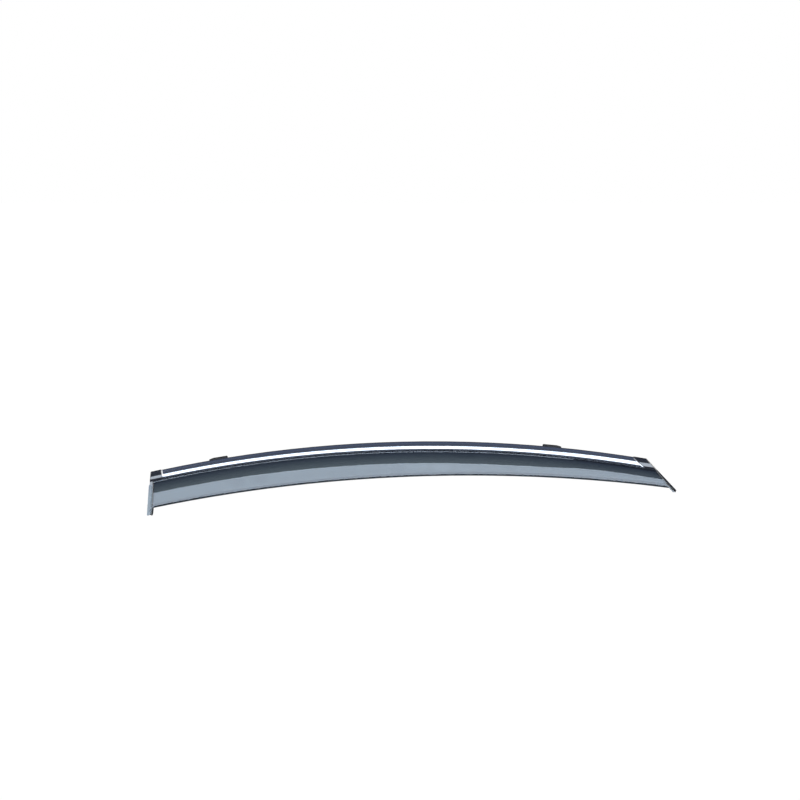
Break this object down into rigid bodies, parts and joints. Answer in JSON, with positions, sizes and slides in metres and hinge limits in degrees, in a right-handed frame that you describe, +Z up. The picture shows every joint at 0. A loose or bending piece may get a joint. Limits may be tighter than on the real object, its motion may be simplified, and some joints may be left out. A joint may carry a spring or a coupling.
{
  "type": "window rain deflector",
  "caption": "Long arched rain deflector for a rear door window: smoked convex blade with end walls, bright strip along its taped flange, and hook clips behind.",
  "frame": {"origin": "on the bonding face of the tape, at the middle of its width, under the crown of the arched top edge", "axes": "+X along the deflector from its square front end to its raked rear end, +Y towards the door, +Z up"},
  "size_m": [0.8788, 0.0265, 0.1262],
  "materials": {
    "smoked_plastic": "polished dark smoke tint",
    "bright_strip": "bright rolled strip",
    "cap_plastic": "gloss black",
    "foam_tape": "matt closed-cell foam",
    "clip_nylon": "fine grained black"
  },
  "bodies": {
    "root": {"visor_blade": "smoked_plastic", "bright_trim": "bright_strip", "front_cap": "cap_plastic", "rear_cap": "cap_plastic", "front_tape": "foam_tape", "middle_tape": "foam_tape", "rear_tape": "foam_tape", "front_clip": "clip_nylon", "rear_clip": "clip_nylon"}
  },
  "joints": []
}
